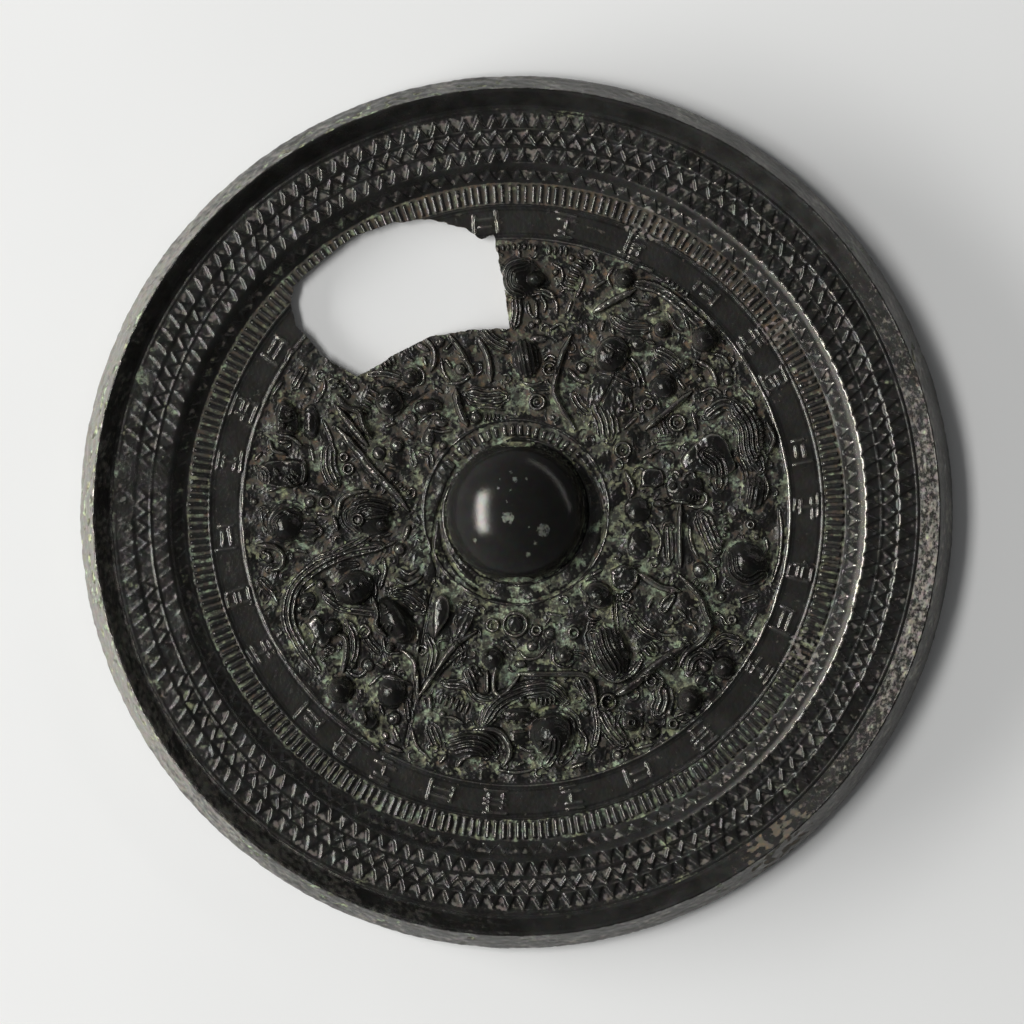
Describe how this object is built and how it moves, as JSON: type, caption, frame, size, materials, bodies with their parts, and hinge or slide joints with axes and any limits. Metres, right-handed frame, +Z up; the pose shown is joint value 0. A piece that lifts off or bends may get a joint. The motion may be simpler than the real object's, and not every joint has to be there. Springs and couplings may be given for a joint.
{
  "type": "bronze mirror",
  "caption": "Round cast bronze mirror with a domed knob, toothed bands, figures in relief, a raised rim and a broken-out gap.",
  "frame": {"origin": "centre of the small flat spot that the convex reflecting face rests on", "axes": "+Z up through the knob, out of the decorated back; +Y towards the break; the cord tunnel runs along Y"},
  "size_m": [0.2197, 0.2198, 0.0152],
  "materials": {
    "bronze": "cast high-tin bronze with a black patina, verdigris in the recesses and pale corrosion on the rim"
  },
  "bodies": {
    "root": {"mirror": "bronze"}
  },
  "joints": []
}
